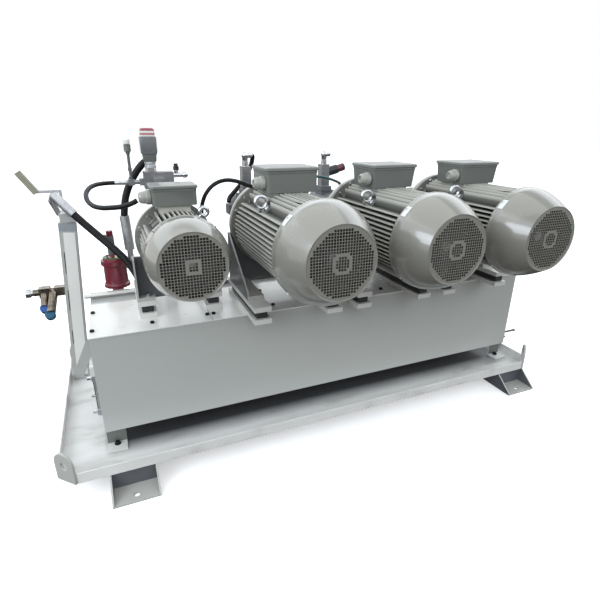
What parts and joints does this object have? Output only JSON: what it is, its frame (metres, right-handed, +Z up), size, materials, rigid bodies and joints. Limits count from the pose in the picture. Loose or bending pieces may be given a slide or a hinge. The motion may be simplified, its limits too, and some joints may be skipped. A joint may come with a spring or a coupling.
{
  "type": "hydraulic power unit",
  "caption": "Industrial hydraulic power unit: motor and pump sets on a long oil tank that stands in a drip tray, with valves, return filter and hoses.",
  "frame": {"origin": "centre of the four anchor holes, at floor level", "axes": "+X along the tank to the large motors' end, -Y the fan side (front), +Z up"},
  "size_m": [3.078, 1.718, 1.58],
  "materials": {
    "drip_tray": "satin paint",
    "tray_feet": "satin paint",
    "lifting_lugs": "satin paint",
    "tank_shell": "satin paint",
    "tank_feet": "satin paint",
    "tank_covers": "satin paint",
    "cover_bolts": "satin paint",
    "rear_crossbar": "zinc plated, satin",
    "level_gauge": "satin",
    "support_post": "satin paint",
    "post_valve": "satin paint",
    "post_valve_lever": "zinc plated, satin",
    "drain_valve": "bronze coloured, satin",
    "drain_lever": "satin paint",
    "filler_neck": "zinc plated, satin",
    "breather_cap": "matt",
    "return_filter": "satin paint",
    "filter_lid": "satin paint",
    "clogging_indicator": "matt",
    "damping_rails": "satin paint",
    "rail_rubbers": "matt",
    "motor_brackets": "satin paint",
    "bracket_bolts": "zinc plated, satin",
    "stator_housings": "satin paint",
    "drive_end_shields": "satin paint",
    "terminal_boxes": "satin paint",
    "terminal_box_lids": "satin paint",
    "cable_glands": "satin paint",
    "lifting_eyes": "zinc plated, satin",
    "bell_housings": "satin paint",
    "pumps": "rough cast",
    "suction_pipes": "satin paint",
    "valve_block": "zinc plated, satin",
    "solenoid_valve": "matt",
    "isolator_body": "zinc plated, satin",
    "isolator_knob": "matt",
    "pressure_sensor": "zinc plated, satin",
    "pump_valve_stacks": "zinc plated, satin",
    "service_manifold": "bronze coloured, satin",
    "service_knob": "zinc plated, satin",
    "dust_caps": "matt",
    "hose_fittings": "zinc plated, satin",
    "return_hose": "matt",
    "loop_hose": "matt",
    "suction_hose": "matt",
    "motor_cable": "matt",
    "stack_hose": "matt",
    "control_hose": "matt",
    "fan_cowl_1": "satin paint",
    "cooling_fan_1": "matt",
    "rotor_shaft_1": "zinc plated, satin",
    "fan_cowl_2": "satin paint",
    "cooling_fan_2": "matt",
    "rotor_shaft_2": "zinc plated, satin",
    "fan_cowl_3": "satin paint",
    "cooling_fan_3": "matt",
    "rotor_shaft_3": "zinc plated, satin",
    "fan_cowl_4": "satin paint",
    "cooling_fan_4": "matt",
    "rotor_shaft_4": "zinc plated, satin"
  },
  "bodies": {
    "power_unit": {"drip_tray": "drip_tray", "tray_feet": "tray_feet", "lifting_lugs": "lifting_lugs", "tank_shell": "tank_shell", "tank_feet": "tank_feet", "tank_covers": "tank_covers", "cover_bolts": "cover_bolts", "rear_crossbar": "rear_crossbar", "level_gauge": "level_gauge", "support_post": "support_post", "post_valve": "post_valve", "drain_valve": "drain_valve", "filler_neck": "filler_neck", "return_filter": "return_filter", "filter_lid": "filter_lid", "clogging_indicator": "clogging_indicator", "damping_rails": "damping_rails", "rail_rubbers": "rail_rubbers", "motor_brackets": "motor_brackets", "bracket_bolts": "bracket_bolts", "stator_housings": "stator_housings", "drive_end_shields": "drive_end_shields", "terminal_boxes": "terminal_boxes", "terminal_box_lids": "terminal_box_lids", "cable_glands": "cable_glands", "lifting_eyes": "lifting_eyes", "bell_housings": "bell_housings", "pumps": "pumps", "suction_pipes": "suction_pipes", "fan_cowl_1": "fan_cowl_1", "fan_cowl_2": "fan_cowl_2", "fan_cowl_3": "fan_cowl_3", "fan_cowl_4": "fan_cowl_4", "valve_block": "valve_block", "solenoid_valve": "solenoid_valve", "isolator_body": "isolator_body", "pressure_sensor": "pressure_sensor", "pump_valve_stacks": "pump_valve_stacks", "service_manifold": "service_manifold", "dust_caps": "dust_caps", "hose_fittings": "hose_fittings", "return_hose": "return_hose", "loop_hose": "loop_hose", "suction_hose": "suction_hose", "motor_cable": "motor_cable", "stack_hose": "stack_hose", "control_hose": "control_hose"},
    "rotor_1": {"rotor_shaft_1": "rotor_shaft_1", "cooling_fan_1": "cooling_fan_1"},
    "rotor_2": {"rotor_shaft_2": "rotor_shaft_2", "cooling_fan_2": "cooling_fan_2"},
    "rotor_3": {"rotor_shaft_3": "rotor_shaft_3", "cooling_fan_3": "cooling_fan_3"},
    "rotor_4": {"rotor_shaft_4": "rotor_shaft_4", "cooling_fan_4": "cooling_fan_4"},
    "post_lever": {"post_valve_lever": "post_valve_lever"},
    "drain_handle": {"drain_lever": "drain_lever"},
    "cock_knob": {"isolator_knob": "isolator_knob"},
    "manifold_knob": {"service_knob": "service_knob"},
    "cap": {"breather_cap": "breather_cap"}
  },
  "joints": [
    {"name": "rotor_1_turn", "type": "hinge", "parent": "power_unit", "child": "rotor_1", "pos_m": [-0.845, -0.3, 1.085], "axis": [0, 1, 0], "continuous": true},
    {"name": "rotor_2_turn", "type": "hinge", "parent": "power_unit", "child": "rotor_2", "pos_m": [-0.32, -0.3, 1.102], "axis": [0, 1, 0], "continuous": true},
    {"name": "rotor_3_turn", "type": "hinge", "parent": "power_unit", "child": "rotor_3", "pos_m": [0.235, -0.3, 1.102], "axis": [0, 1, 0], "continuous": true},
    {"name": "rotor_4_turn", "type": "hinge", "parent": "power_unit", "child": "rotor_4", "pos_m": [0.79, -0.3, 1.102], "axis": [0, 1, 0], "continuous": true},
    {"name": "post_lever_turn", "type": "hinge", "parent": "power_unit", "child": "post_lever", "pos_m": [-1.346, 0.392, 1.18], "axis": [0, 0, 1], "range_deg": [-90, 0]},
    {"name": "drain_handle_turn", "type": "hinge", "parent": "power_unit", "child": "drain_handle", "pos_m": [1.314, -0.38, 0.249], "axis": [0, 0, 1], "range_deg": [-90, 0]},
    {"name": "cock_knob_turn", "type": "hinge", "parent": "power_unit", "child": "cock_knob", "pos_m": [-0.738, 0.265, 1.36], "axis": [0, 0, 1], "range_deg": [0, 270]},
    {"name": "manifold_knob_turn", "type": "hinge", "parent": "power_unit", "child": "manifold_knob", "pos_m": [-1.61, 0.45, 0.662], "axis": [-1, 0, 0], "range_deg": [0, 330]},
    {"name": "cap_turn", "type": "hinge", "parent": "power_unit", "child": "cap", "pos_m": [1.15, 0.162, 0.74], "axis": [0, 0, 1], "range_deg": [0, 90]}
  ]
}
